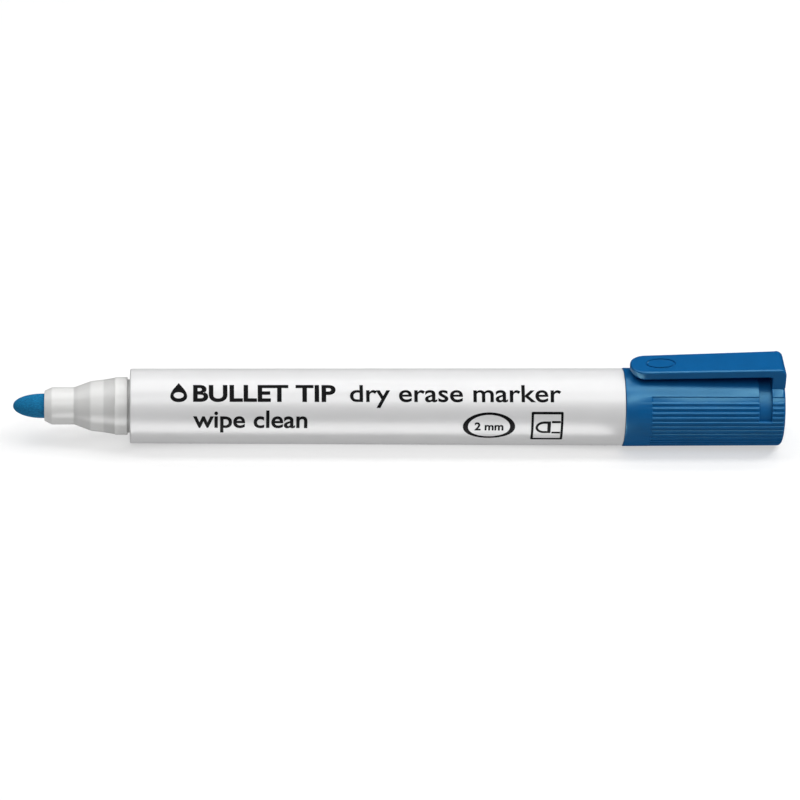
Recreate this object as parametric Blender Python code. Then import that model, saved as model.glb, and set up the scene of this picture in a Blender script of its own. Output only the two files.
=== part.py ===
"""Whiteboard marker with its cap posted on the rear end.

The pen lies along X with the nib at -X. The clip points up, along +Z. Inside this file every piece is
modelled in the pen's own frame: x = 0 is the barrel's front shoulder, and y = z = 0 is the pen's axis.
One empty carries that frame to the model's origin, under the middle of the pen and level with the
surface it lies on.
"""

import math

import bmesh
import bpy
from mathutils import Matrix, Vector

MM = 0.001

# Clearances
GAP = 0.3 * MM  # between pieces that are pressed or moulded together
FIT = 0.25 * MM  # between the cap's grip and what it slides on

# Barrel
BARREL_LENGTH = 97.0 * MM
BARREL_FRONT_RADIUS = 7.36 * MM
BARREL_DRAFT = 0.30 * MM  # how much the radius grows towards the rear
BARREL_WALL = 1.10 * MM
BARREL_EDGE_ROUND = 0.35 * MM
COLLAR_SEAT_DEPTH = 2.5 * MM
COLLAR_SEAT_STEP = 0.55 * MM

# Front section, from the shoulder forwards
SECTION_LENGTH = 16.75 * MM
SPIGOT_LENGTH = 12.3 * MM
SHOULDER_GROOVE_WIDTH = 0.5 * MM
SHOULDER_GROOVE_DEPTH = 0.45 * MM
RING_STEP = 0.26 * MM
RING_LENGTH = 2.4 * MM
REAR_CONE_LENGTH = 2.2 * MM
REAR_CONE_STEP = 0.12 * MM
BAND_STEP = 0.50 * MM
BAND_LENGTH = 2.65 * MM
BAND_DRAFT = 0.30 * MM
FRONT_CONE_LENGTH = 3.15 * MM
NOSE_WALL = 1.26 * MM
NOSE_CHAMFER_LENGTH = 1.55 * MM
NOSE_RIM_WALL = 0.20 * MM
NIB_GRIP_LENGTH = 11.0 * MM
BREATHER_RADIUS = 4.2 * MM
SNAP_DISTANCE = 6.0 * MM
SNAP_WIDTH = 1.4 * MM
SNAP_HEIGHT = 0.24 * MM

# Nib
NIB_RADIUS = 2.42 * MM
NIB_REACH = 6.2 * MM
NIB_TIP_LENGTH = 5.8 * MM
NIB_TAIL_LENGTH = 3.0 * MM
NIB_TAIL_RADIUS = 1.1 * MM
NIB_PENETRATION = 5.5 * MM

# Ink reservoir and its film
FILM_THICKNESS = 0.2 * MM
FILM_CLEARANCE = 0.2 * MM
FILM_SETBACK = 1.0 * MM

# End plug
PLUG_STEM_LENGTH = 10.0 * MM
PLUG_WALL = 1.1 * MM
POST_LENGTH = 10.3 * MM
POST_CHAMFER = 0.7 * MM

# Cap
CAP_LENGTH = 31.6 * MM
CAP_STEP = 0.12 * MM  # how far its mouth stands out past the barrel
CAP_DRAFT = 0.18 * MM
CAP_END_WALL = 1.0 * MM
CAP_END_ROUND = 0.8 * MM
CAP_MOUTH_CHAMFER = 0.15 * MM
RIB_PLACES = 48  # all round, though the smooth zone under the clip takes some of them
RIB_START = 5.0 * MM
RIB_WIDTH = 0.38 * MM
RIB_HEIGHT = 0.25 * MM
RIB_FLANK = 0.10 * MM  # how much wider each side of a rib gets from its crest to its foot
SMOOTH_ZONE_HALF_ANGLE = math.radians(42.0)
FIRST_RIB_ANGLE = math.radians(52.5)
WINDOW_TO_END = 2.7 * MM
WINDOW_WIDTH = 2.55 * MM
WINDOW_HALF_ANGLE = math.radians(81.0)

# Inner cap
SLEEVE_WALL = 0.5 * MM
SLEEVE_SETBACK = 0.5 * MM
CUP_WALL = 0.7 * MM
CUP_CONE_LENGTH = 1.0 * MM
CUP_WEB = 0.85 * MM  # the cone between sleeve and cup, measured along the axis
POST_END_CLEARANCE = 0.6 * MM
TIP_CLEARANCE = 1.2 * MM

# Clip
CLIP_LENGTH = 30.6 * MM
CLIP_THICKNESS = 1.8 * MM
CLIP_TIP_WIDTH = 6.5 * MM
CLIP_ROOT_WIDTH = 7.5 * MM
CLIP_TIP_GAP = 0.45 * MM
CLIP_ROOT_GAP = 1.6 * MM
CLIP_LEG = 2.7 * MM
CLIP_CORNER_ROUND = 2.0 * MM
CLIP_INNER_ROUND = 0.5 * MM
CLIP_TIP_ROUND = 2.8 * MM
CLIP_HINGE_INSET = 0.1 * MM  # from the foot's rear edge to the line it bends about

TURN_STEPS = RIB_PLACES  # so that each rib is one facet of the turned cap
ARC_STEPS = 5

# Sizes that follow from the ones above
bore_radius = BARREL_FRONT_RADIUS - BARREL_WALL
barrel_rear_radius = BARREL_FRONT_RADIUS + BARREL_DRAFT
spigot_radius = bore_radius - GAP
ring_radius = spigot_radius - RING_STEP
nose_radius = NIB_RADIUS + NOSE_WALL
nib_hole_radius = NIB_RADIUS + GAP
nib_tip_x = -(SECTION_LENGTH + NIB_REACH)
nib_tail_x = SPIGOT_LENGTH + NIB_PENETRATION
plug_front_x = BARREL_LENGTH - PLUG_STEM_LENGTH
post_radius = ring_radius  # the cap grips the ring in front and the post behind alike
post_end_x = BARREL_LENGTH + POST_LENGTH
cap_mouth_x = BARREL_LENGTH + GAP
cap_end_x = cap_mouth_x + CAP_LENGTH
cap_mouth_radius = barrel_rear_radius + CAP_STEP
cap_end_radius = cap_mouth_radius - CAP_DRAFT
grip_radius = post_radius + FIT
sleeve_radius = grip_radius + SLEEVE_WALL
cap_bore_radius = sleeve_radius + FIT
axis_height = cap_mouth_radius * math.cos(math.pi / TURN_STEPS)


def clear_scene():
    for obj in list(bpy.data.objects):
        bpy.data.objects.remove(obj)


def make_material(name, color, roughness):
    material = bpy.data.materials.new(name)
    material.use_nodes = True
    shader = material.node_tree.nodes["Principled BSDF"]
    shader.inputs["Base Color"].default_value = (*color, 1.0)
    shader.inputs["Roughness"].default_value = roughness
    shader.inputs["Metallic"].default_value = 0.0
    return material


def make_object(name, bm, material, parent, origin=(0.0, 0.0, 0.0)):
    """The object of a finished mesh, whose origin is moved to a point of the pen's frame."""
    bmesh.ops.recalc_face_normals(bm, faces=bm.faces)
    bmesh.ops.translate(bm, verts=bm.verts, vec=-Vector(origin))
    mesh = bpy.data.meshes.new(name)
    bm.to_mesh(mesh)
    bm.free()
    mesh.shade_smooth()
    mesh.set_sharp_from_angle(angle=math.radians(30))
    if material:
        mesh.materials.append(material)
    obj = bpy.data.objects.new(name, mesh)
    bpy.context.scene.collection.objects.link(obj)
    obj.parent = parent
    obj.location = origin
    return obj


def make_empty(name, parent, location):
    empty = bpy.data.objects.new(name, None)
    bpy.context.scene.collection.objects.link(empty)
    empty.empty_display_size = 5 * MM
    empty.parent = parent
    empty.location = location
    return empty


def arc(center, radius, start, end, steps=ARC_STEPS):
    """Points of an arc in a plane, with its angles in degrees."""
    points = []
    for i in range(steps + 1):
        angle = math.radians(start + (end - start) * i / steps)
        points.append((center[0] + radius * math.cos(angle), center[1] + radius * math.sin(angle)))
    return points


def turned(profile):
    """A closed outline of (x, radius) points turned about the pen's axis."""
    bm = bmesh.new()
    half_step = math.pi / TURN_STEPS
    points = [(x, radius * math.sin(half_step), radius * math.cos(half_step)) for x, radius in profile]
    verts = [bm.verts.new(point) for point in points]
    for first, second in zip(verts, verts[1:] + verts[:1]):
        if first.co.yz.length > 0 or second.co.yz.length > 0:
            bm.edges.new((first, second))
    bmesh.ops.spin(
        bm,
        geom=bm.verts[:] + bm.edges[:],
        cent=(0, 0, 0),
        axis=(1, 0, 0),
        angle=2 * math.pi,
        steps=TURN_STEPS,
        use_merge=True,
    )
    bmesh.ops.remove_doubles(bm, verts=bm.verts, dist=0.001 * MM)
    return bm


def prism(outline, axis, start, end):
    """A flat outline extruded along Y or Z. Its points are (x, z) along Y, and (x, y) along Z."""
    bm = bmesh.new()
    if axis == "Y":
        verts = [bm.verts.new((x, start, z)) for x, z in outline]
        step = (0, end - start, 0)
    else:
        verts = [bm.verts.new((x, y, start)) for x, y in outline]
        step = (0, 0, end - start)
    face = bm.faces.new(verts)
    moved = bmesh.ops.extrude_face_region(bm, geom=[face])["geom"]
    bmesh.ops.translate(bm, verts=[v for v in moved if isinstance(v, bmesh.types.BMVert)], vec=step)
    return bm


def cut(obj, cutter, operation="DIFFERENCE"):
    cutter.hide_render = True
    cutter.display_type = "WIRE"
    modifier = obj.modifiers.new(cutter.name, "BOOLEAN")
    modifier.operation = operation
    modifier.object = cutter


def make_barrel(material, parent):
    seat_radius = bore_radius + COLLAR_SEAT_STEP
    seat_x = BARREL_LENGTH - COLLAR_SEAT_DEPTH
    snap_radius = spigot_radius + SNAP_HEIGHT + GAP
    round_x = BARREL_EDGE_ROUND
    round_radius = BARREL_FRONT_RADIUS - BARREL_EDGE_ROUND
    profile = [
        (0, bore_radius),
        *arc((round_x, round_radius), BARREL_EDGE_ROUND, 180, 90),
        (BARREL_LENGTH, barrel_rear_radius),
        (BARREL_LENGTH, seat_radius),
        (seat_x, seat_radius),
        (seat_x, bore_radius),
        (SNAP_DISTANCE + SNAP_WIDTH + GAP, bore_radius),
        (SNAP_DISTANCE + SNAP_WIDTH + GAP, snap_radius),
        (SNAP_DISTANCE - GAP, snap_radius),
        (SNAP_DISTANCE - GAP, bore_radius),
    ]
    return make_object("barrel", turned(profile), material, parent)


def make_front_section(material, parent):
    ring_x = -SHOULDER_GROOVE_WIDTH
    cone_x = ring_x - RING_LENGTH
    band_x = cone_x - REAR_CONE_LENGTH
    front_cone_x = band_x - BAND_LENGTH
    nose_x = front_cone_x - FRONT_CONE_LENGTH
    nose_end_x = -SECTION_LENGTH
    cone_rear_radius = ring_radius - REAR_CONE_STEP
    band_radius = ring_radius - BAND_STEP
    band_front_radius = band_radius - BAND_DRAFT
    groove_radius = ring_radius - SHOULDER_GROOVE_DEPTH
    bead_radius = spigot_radius + SNAP_HEIGHT
    grip_end_x = nose_end_x + NIB_GRIP_LENGTH
    profile = [
        (nose_end_x, nib_hole_radius),
        (nose_end_x, nib_hole_radius + NOSE_RIM_WALL),
        (nose_end_x + NOSE_CHAMFER_LENGTH, nose_radius),
        (nose_x, nose_radius),
        (front_cone_x, band_front_radius),
        (band_x, band_radius),
        (cone_x, cone_rear_radius),
        (cone_x, ring_radius),
        (ring_x, ring_radius),
        (ring_x, groove_radius),
        (GAP, groove_radius),
        (GAP, spigot_radius),
        (SNAP_DISTANCE, spigot_radius),
        (SNAP_DISTANCE + SNAP_WIDTH / 2, bead_radius),
        (SNAP_DISTANCE + SNAP_WIDTH, spigot_radius),
        (SPIGOT_LENGTH, spigot_radius),
        (SPIGOT_LENGTH, BREATHER_RADIUS),
        (grip_end_x, BREATHER_RADIUS),
        (grip_end_x, nib_hole_radius),
    ]
    return make_object("front_section", turned(profile), material, parent)


def make_nib(material, parent):
    tip_base_x = nib_tip_x + NIB_TIP_LENGTH
    tip = []
    for i in range(ARC_STEPS + 2):
        angle = math.pi / 2 * i / (ARC_STEPS + 1)
        tip.append((tip_base_x - NIB_TIP_LENGTH * math.cos(angle), NIB_RADIUS * math.sin(angle)))
    profile = [
        *tip,
        (nib_tail_x - NIB_TAIL_LENGTH, NIB_RADIUS),
        (nib_tail_x, NIB_TAIL_RADIUS),
        (nib_tail_x, 0),
    ]
    return make_object("nib", turned(profile), material, parent)


def make_ink_reservoir(material, parent):
    """The fibre core, with the blind hole that the nib's tail sits in."""
    front_x = SPIGOT_LENGTH + GAP
    rear_x = plug_front_x - GAP
    core_radius = bore_radius - GAP - FILM_THICKNESS - FILM_CLEARANCE
    hole_end_x = nib_tail_x + GAP
    profile = [
        (front_x, nib_hole_radius),
        (front_x, core_radius),
        (rear_x, core_radius),
        (rear_x, 0),
        (hole_end_x, 0),
        (hole_end_x, nib_hole_radius),
    ]
    return make_object("ink_reservoir", turned(profile), material, parent)


def make_reservoir_film(material, parent):
    """The film tube round the core. The core stands out of it at both ends."""
    front_x = SPIGOT_LENGTH + GAP + FILM_SETBACK
    rear_x = plug_front_x - GAP - FILM_SETBACK
    outer_radius = bore_radius - GAP
    inner_radius = outer_radius - FILM_THICKNESS
    profile = [(front_x, inner_radius), (front_x, outer_radius), (rear_x, outer_radius), (rear_x, inner_radius)]
    return make_object("reservoir_film", turned(profile), material, parent)


def make_end_plug(material, parent):
    """The hollow plug: a stem in the bore, a collar in its seat, and the post that holds the cap."""
    collar_radius = bore_radius + COLLAR_SEAT_STEP - GAP
    collar_x = BARREL_LENGTH - COLLAR_SEAT_DEPTH + GAP
    hollow_radius = post_radius - PLUG_WALL
    profile = [
        (plug_front_x, hollow_radius),
        (plug_front_x, spigot_radius),
        (collar_x, spigot_radius),
        (collar_x, collar_radius),
        (BARREL_LENGTH, collar_radius),
        (BARREL_LENGTH, post_radius),
        (post_end_x - POST_CHAMFER, post_radius),
        (post_end_x, post_radius - POST_CHAMFER),
        (post_end_x, 0),
        (post_end_x - PLUG_WALL, 0),
        (post_end_x - PLUG_WALL, hollow_radius),
    ]
    return make_object("end_plug", turned(profile), material, parent)


def rib_groove_cutters():
    """The long grooves between the ribs. The first one each side is wide, and ends the smooth zone."""
    pitch = 2 * math.pi / RIB_PLACES
    half_rib = RIB_WIDTH / 2 / cap_mouth_radius
    flank = RIB_FLANK / cap_mouth_radius
    ribs = [pitch * i for i in range(RIB_PLACES) if is_rib(pitch * i)]
    edges = [SMOOTH_ZONE_HALF_ANGLE]
    for angle in ribs:
        edges += [angle - half_rib, angle + half_rib]
    edges.append(2 * math.pi - SMOOTH_ZONE_HALF_ANGLE)
    bm = bmesh.new()
    for start, end in zip(edges[::2], edges[1::2]):
        loops = []
        for x in (cap_mouth_x + RIB_START, cap_end_x + GAP):
            crest = cap_mouth_radius - CAP_DRAFT * (x - cap_mouth_x) / CAP_LENGTH
            floor = crest - RIB_HEIGHT
            corners = (
                (floor, start + flank),
                (floor, end - flank),
                (crest + GAP, end + flank * GAP / RIB_HEIGHT),
                (crest + GAP, start - flank * GAP / RIB_HEIGHT),
            )
            loops.append([bm.verts.new((x, -r * math.sin(a), r * math.cos(a))) for r, a in corners])
        near, far = loops
        bm.faces.new(near)
        bm.faces.new(far[::-1])
        for k in range(4):
            bm.faces.new((near[k], far[k], far[(k + 1) % 4], near[(k + 1) % 4]))
    return bm


def is_rib(angle):
    """Whether a rib stands at this angle from the clip. The tolerance is for rounding at the first one."""
    return min(angle, 2 * math.pi - angle) > FIRST_RIB_ANGLE - math.radians(0.1)


def vent_window_cutter():
    """A wedge of a ring that goes through the shell's wall, round the top and both sides."""
    half_step = math.pi / TURN_STEPS
    facets = round(WINDOW_HALF_ANGLE / half_step)
    start_x = cap_end_x - WINDOW_TO_END - WINDOW_WIDTH
    end_x = cap_end_x - WINDOW_TO_END
    inner = cap_bore_radius - FIT / 2
    outer = cap_mouth_radius + 2 * GAP
    bm = bmesh.new()
    sections = []
    for i in range(facets + 1):
        angle = WINDOW_HALF_ANGLE * (2 * i / facets - 1)
        turn = Matrix.Rotation(angle, 3, "X")
        corners = ((start_x, 0, inner), (end_x, 0, inner), (end_x, 0, outer), (start_x, 0, outer))
        sections.append([bm.verts.new(turn @ Vector(corner)) for corner in corners])
    bm.faces.new(sections[0])
    bm.faces.new(sections[-1][::-1])
    for first, second in zip(sections, sections[1:]):
        for k in range(4):
            bm.faces.new((first[k], second[k], second[(k + 1) % 4], first[(k + 1) % 4]))
    return bm


def make_cap_shell(material, parent):
    inside_end_x = cap_end_x - CAP_END_WALL
    round_x = cap_end_x - CAP_END_ROUND
    round_radius = cap_end_radius - CAP_END_ROUND
    profile = [
        (cap_mouth_x, cap_bore_radius),
        (cap_mouth_x, cap_mouth_radius - CAP_MOUTH_CHAMFER),
        (cap_mouth_x + CAP_MOUTH_CHAMFER, cap_mouth_radius),
        *arc((round_x, round_radius), CAP_END_ROUND, 90, 0),
        (cap_end_x, 0),
        (inside_end_x, 0),
        (inside_end_x, cap_bore_radius),
    ]
    shell = make_object("cap_shell", turned(profile), material, parent)
    cut(shell, make_object("rib_grooves", rib_groove_cutters(), None, parent))
    cut(shell, make_object("vent_window", vent_window_cutter(), None, parent))
    return shell


def make_inner_cap(material, parent):
    """The sealing liner: a sleeve that grips the post or the ring, and a cup that closes over the nib."""
    front_x = cap_mouth_x + SLEEVE_SETBACK
    rear_x = cap_end_x - CAP_END_WALL - GAP
    cone_x = post_end_x + POST_END_CLEARANCE
    cup_radius = nose_radius + FIT
    cup_x = cone_x + CUP_CONE_LENGTH
    cup_end_x = cap_mouth_x + SECTION_LENGTH + NIB_REACH + TIP_CLEARANCE
    profile = [
        (front_x, grip_radius),
        (front_x, sleeve_radius),
        (rear_x, sleeve_radius),
        (rear_x, grip_radius),
        (cone_x + CUP_WEB, grip_radius),
        (cup_x + CUP_WEB, cup_radius + CUP_WALL),
        (cup_end_x + CUP_WALL, cup_radius + CUP_WALL),
        (cup_end_x + CUP_WALL, 0),
        (cup_end_x, 0),
        (cup_end_x, cup_radius),
        (cup_x, cup_radius),
        (cone_x, grip_radius),
    ]
    return make_object("inner_cap", turned(profile), material, parent)


def clip_side_outline():
    """The clip seen from the side: a leg up from the cap's end, and an arm forwards over the cap."""
    tip_x = cap_end_x - CLIP_LENGTH
    leg_x = cap_end_x - CLIP_LEG
    tip_under = cap_mouth_radius + CLIP_TIP_GAP
    root_under = cap_end_radius + CLIP_ROOT_GAP
    slope = (root_under - tip_under) / (CLIP_LENGTH - CLIP_LEG)
    inner_z = root_under - slope * CLIP_INNER_ROUND - CLIP_INNER_ROUND
    corner_x = cap_end_x - CLIP_CORNER_ROUND
    corner_z = root_under + CLIP_THICKNESS - CLIP_CORNER_ROUND
    foot_z = cap_end_radius / 2  # inside the cap, where the shell's own outline trims it
    return [
        (tip_x, tip_under),
        *arc((leg_x - CLIP_INNER_ROUND, inner_z), CLIP_INNER_ROUND, 90, 0),
        (leg_x, foot_z),
        (cap_end_x, foot_z),
        *arc((corner_x, corner_z), CLIP_CORNER_ROUND, 0, 90),
        (tip_x, tip_under + CLIP_THICKNESS),
    ]


def clip_plan_outline():
    """The clip seen from above: a slight taper, and a rounded free end."""
    tip_x = cap_end_x - CLIP_LENGTH
    tip_half = CLIP_TIP_WIDTH / 2
    root_half = CLIP_ROOT_WIDTH / 2
    round_x = tip_x + CLIP_TIP_ROUND
    round_y = tip_half - CLIP_TIP_ROUND
    return [
        (cap_end_x + GAP, -root_half),
        (cap_end_x + GAP, root_half),
        *arc((round_x, round_y), CLIP_TIP_ROUND, 90, 180),
        *arc((round_x, -round_y), CLIP_TIP_ROUND, 180, 270),
    ]


def make_clip(material, parent):
    hinge = (cap_end_x - CLIP_HINGE_INSET, 0, cap_end_radius)
    reach = CLIP_ROOT_WIDTH
    clip = make_object("clip", prism(clip_side_outline(), "Y", -reach, reach), material, parent, hinge)
    plan = prism(clip_plan_outline(), "Z", 0, 2 * cap_mouth_radius)
    cut(clip, make_object("clip_plan", plan, None, parent), "INTERSECT")
    foot = turned([
        (cap_mouth_x, 0),
        (cap_mouth_x, cap_mouth_radius + GAP),
        (cap_end_x + CAP_LENGTH, cap_end_radius - CAP_DRAFT + GAP),
        (cap_end_x + CAP_LENGTH, 0),
    ])
    cut(clip, make_object("clip_foot", foot, None, parent))
    return clip


def main():
    clear_scene()
    middle_x = (nib_tip_x + cap_end_x) / 2
    pen = make_empty("pen_axis", None, (-middle_x, 0, axis_height))
    cap = make_empty("cap_axis", pen, (0, 0, 0))
    white = make_material("barrel_white", (0.84, 0.84, 0.85), 0.35)
    natural = make_material("section_natural", (0.78, 0.79, 0.78), 0.3)
    felt = make_material("nib_felt", (0.012, 0.11, 0.30), 0.9)
    fibre = make_material("reservoir_fibre", (0.02, 0.10, 0.35), 0.95)
    film = make_material("reservoir_film", (0.75, 0.78, 0.80), 0.2)
    blue = make_material("cap_blue", (0.010, 0.105, 0.31), 0.3)
    liner = make_material("liner_blue", (0.012, 0.10, 0.28), 0.4)
    make_barrel(white, pen)
    make_front_section(natural, pen)
    make_nib(felt, pen)
    make_ink_reservoir(fibre, pen)
    make_reservoir_film(film, pen)
    make_end_plug(blue, pen)
    make_inner_cap(liner, cap)
    make_cap_shell(blue, cap)
    make_clip(blue, cap)


main()
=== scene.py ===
"""The looks of the whiteboard marker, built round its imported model.

Every piece is modelled in place, in metres, with MM turning millimetres into metres. The pen lies along X,
its nib at -X, and its clip points up. A place round the pen is an angle from the clip, and it grows towards
the camera's side, -Y.
"""

import math

import bmesh
import bpy
from mathutils import Matrix, Vector


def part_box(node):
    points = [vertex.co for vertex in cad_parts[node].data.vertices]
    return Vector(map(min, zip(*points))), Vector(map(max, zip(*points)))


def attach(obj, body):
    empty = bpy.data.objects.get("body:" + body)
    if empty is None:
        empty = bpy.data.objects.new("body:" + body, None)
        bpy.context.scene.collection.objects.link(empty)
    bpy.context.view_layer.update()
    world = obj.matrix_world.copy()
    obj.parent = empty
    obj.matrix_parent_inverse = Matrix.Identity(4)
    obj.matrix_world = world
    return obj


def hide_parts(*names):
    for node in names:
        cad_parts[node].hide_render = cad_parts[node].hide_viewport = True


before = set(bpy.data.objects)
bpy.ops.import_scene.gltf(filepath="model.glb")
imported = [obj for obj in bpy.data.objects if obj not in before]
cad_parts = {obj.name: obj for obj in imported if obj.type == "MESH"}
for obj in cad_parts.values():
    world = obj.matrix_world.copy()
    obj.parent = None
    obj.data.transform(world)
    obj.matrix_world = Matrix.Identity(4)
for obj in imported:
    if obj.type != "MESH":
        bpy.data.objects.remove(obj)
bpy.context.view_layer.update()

MM = 0.001

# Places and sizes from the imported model. The CAD's round pieces have flats, and half the width of a box is
# the distance from the axis to a flat, so a round piece of that radius lies just inside the CAD's.
barrel_low, barrel_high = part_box("barrel")
section_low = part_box("front_section")[0]
nib_low, nib_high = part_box("nib")
plug_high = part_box("end_plug")[1]
liner_low, liner_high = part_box("inner_cap")
cap_low, cap_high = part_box("cap_shell")
clip_low, clip_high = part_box("clip")
AXIS_Z = (barrel_low.z + barrel_high.z) / 2
SHOULDER_X = barrel_low.x
BARREL_END_X = barrel_high.x
BARREL_REAR_RADIUS = (barrel_high.y - barrel_low.y) / 2
CAP_RADIUS = (cap_high.y - cap_low.y) / 2
NIB_RADIUS = (nib_high.y - nib_low.y) / 2

# Barrel
BARREL_DRAFT = 0.30 * MM
BARREL_WALL = 1.10 * MM
BARREL_EDGE_ROUND = 0.35 * MM
SEAT_STEP = 0.55 * MM  # how much wider than the bore the plug's seat is
SEAT_DEPTH = 2.5 * MM
MOUTH_GAP = 0.08 * MM  # between the barrel and the cap's mouth

# Nose. Its places are measured forwards from the barrel's shoulder, and its chamfer from its own end
RING_RADIUS = 5.69 * MM
NOSE_RADIUS = 3.67 * MM
NOSE_RIM_WALL = 0.55 * MM
NOSE_CHAMFER = 1.45 * MM
CONE_PLACE = 10.90 * MM
BAND_FRONT_PLACE = 7.75 * MM
BAND_REAR_PLACE = 5.10 * MM
RING_PLACE = 2.90 * MM
GROOVE_PLACE = 0.50 * MM
BAND_STEP = 0.50 * MM
BAND_DRAFT = 0.34 * MM
BAND_EDGE = Vector((0.20, 0.06)) * MM  # a small bevel where the cone meets the band
RING_STEP = 0.14 * MM
GROOVE_DEPTH = 0.45 * MM
SPIGOT_SHOWN = 1.50 * MM  # how much of the section goes on inside the barrel here

# Nib
NIB_TIP_LENGTH = 5.8 * MM
NIB_BLUNTNESS = 0.96  # 1 is an ellipse, and less is fuller
NIB_FIT = 0.03 * MM
NIB_SUNK = 3.0 * MM  # how much of the rod goes on inside the nose here

# Plug and inner cap
POST_RADIUS = 5.69 * MM
POST_ROUND = 0.7 * MM
PLUG_WALL = 1.1 * MM
COLLAR_STEP = 0.50 * MM
COLLAR_LENGTH = 2.2 * MM
DIMPLE_RADIUS = 1.0 * MM
DIMPLE_DEPTH = 0.25 * MM
LINER_FIT = 0.20 * MM  # between the liner and what it grips
LINER_TO_BORE = 0.06 * MM
LINER_WALL = 0.7 * MM
CUP_PLACE = 24.15 * MM  # from the cap's mouth to the cup's end
POST_CLEARANCE = 0.6 * MM
CUP_CONE_LENGTH = 1.0 * MM
CUP_WEB = 0.85 * MM

# Cap shell
CAP_DRAFT = 0.18 * MM
CAP_BORE = 6.70 * MM
CAP_END_WALL = 1.0 * MM
CAP_END_ROUND = 0.8 * MM
CAP_MOUTH_ROUND = 0.16 * MM
CAP_LIP_ROUND = 0.15 * MM
CAP_BOTTOM_ROUND = 0.3 * MM
RIB_PLACES = 48
RIB_STEPS = 20  # corners round the shell for each rib
RIB_START = 5.0 * MM
RIB_DEPTH = 0.22 * MM
RIB_TOP_WIDTH = 0.54 * MM
RIB_TOP_HEIGHT = 0.11 * MM
RIB_FLANK = 0.04 * MM  # the width of a rib's steep side
RIB_RAMP = 0.30 * MM  # the length over which the floors between the ribs go down to their depth
PANEL_STEP = 0.16 * MM  # the width of the step at the edge of the smooth zone
SMOOTH_ZONE = math.radians(42)
FIRST_RIB = math.radians(52.5)
WINDOW_TO_END = 2.7 * MM
WINDOW_WIDTH = 2.55 * MM
WINDOW_REACH = math.radians(81)
WINDOW_ROUND = 0.14 * MM

# Clip
CLIP_THICKNESS = 1.8 * MM
CLIP_TIP_WIDTH = 6.5 * MM
CLIP_LEG = 2.7 * MM
CLIP_TIP_GAP = 0.45 * MM
CLIP_ROOT_GAP = 1.6 * MM
CLIP_CORNER_ROUND = 1.5 * MM
CLIP_INNER_ROUND = 0.5 * MM
CLIP_TIP_ROUND = 2.9 * MM
CLIP_EDGE_ROUND = 0.40 * MM
CLIP_LEAD_LENGTH = 2.6 * MM  # the tip's underside rises over this length, to slip over a pocket's edge
CLIP_LEAD_RISE = 0.7 * MM
CLIP_FOOT_HEIGHT = 4.0 * MM  # above the axis, inside the shell, before the foot is cut
CLIP_SEAM = 0.05 * MM
OVAL_PLACE = 6.0 * MM
OVAL_LENGTH = 5.6 * MM
OVAL_WIDTH = 3.2 * MM
OVAL_GROOVE = 0.22 * MM

# Print. Each place has its two ends in millimetres behind the shoulder, and its lower and upper edge in
# degrees above the line along the barrel that faces the camera
PRINT_DEPTH = 0.02 * MM
PRINT_PLACES = {
    "print_drop": (7.9, 11.2, 6, 38),
    "print_title": (12.35, 40.2, 6.2, 34),
    "print_subtitle": (12.35, 34.7, -44, -6.3),
    "print_kind": (43.0, 84.5, -2.2, 34),
    "print_oval": (65.2, 75.5, -54, -8.5),
    "print_width": (67.5, 73.2, -38, -24),
    "print_tip": (78.65, 84.95, -57.5, -7.5),
}

# Colours. A nose tone is (millimetres ahead of the shoulder, share of the colour): painted shade, darker
# on the cones that face away from the light and in the groove at the shoulder
WHITE = (0.78, 0.78, 0.785)
NATURAL = (0.80, 0.80, 0.79)
NOSE_PAINTED_SHADE = (
    (20.0, 1.0),
    (11.2, 0.98),
    (10.9, 0.80),
    (10.0, 0.88),
    (8.0, 0.86),
    (7.6, 0.97),
    (5.3, 0.96),
    (5.0, 0.80),
    (3.1, 0.76),
    (2.9, 1.0),
    (1.9, 0.92),
    (0.6, 0.95),
    (0.4, 0.80),
    (-1.0, 0.80),
)
WET_FELT = (0.008, 0.165, 0.355)
BLUE = (0.003, 0.102, 0.305)
BLUE_GLOSS = (0.42, 0.92, 1.0)
SOAKED_FIBRE = (0.02, 0.10, 0.35)
CLEAR_FILM = (0.75, 0.78, 0.80)
BLACK = (0.004, 0.004, 0.0045)
PALE = (0.45, 0.45, 0.45)

# How finely round shapes are divided
TURN_STEPS = 192
FILLET_STEPS = 6
BEND_STEPS = 12

# The camera's place, as seen from the middle of the pen, and the width it frames there
CAMERA_AZIMUTH = math.radians(-3.8)
CAMERA_ELEVATION = math.radians(32.6)
CAMERA_ROLL = math.radians(0.11)
CAMERA_DISTANCE = 0.80
CAMERA_SHIFT = (0.0015, 0.0081)
SENSOR_WIDTH = 36
FRAME_WIDTH = 158.03 * MM

# The studio
FLOOR_HALF_SIZE = 2.5
FLOOR_DROP = 0.05 * MM
SOFTBOX_LENGTH = 1.6
SOFTBOX_DISTANCE = 0.8


# ---------------------------------------------------------------- outlines and meshes


def fillet(before, corner, after, radius):
    """The points that round a corner of a flat outline."""
    c = Vector(corner)
    a = Vector(before) - c
    b = Vector(after) - c
    half = a.angle(b) / 2
    if half > math.radians(89.5):
        return [tuple(c)]
    reach = min(radius / math.tan(half), 0.49 * a.length, 0.49 * b.length)
    radius = reach * math.tan(half)
    middle = c + (a.normalized() + b.normalized()).normalized() * (radius / math.sin(half))
    start = c + a.normalized() * reach - middle
    end = c + b.normalized() * reach - middle
    turn = start.angle_signed(end)
    points = []
    for i in range(FILLET_STEPS + 1):
        ray = start.copy()
        ray.rotate(Matrix.Rotation(-turn * i / FILLET_STEPS, 2))
        points.append(tuple(middle + ray))
    return points


def rounded(corners):
    """A closed outline from corners, each (x, y) or (x, y, rounding radius)."""
    points = []
    count = len(corners)
    for i, corner in enumerate(corners):
        if len(corner) == 3 and corner[2] > 0:
            before, after = corners[i - 1], corners[(i + 1) % count]
            points += fillet(before[:2], corner[:2], after[:2], corner[2])
        else:
            points.append(tuple(corner[:2]))
    return points


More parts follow.
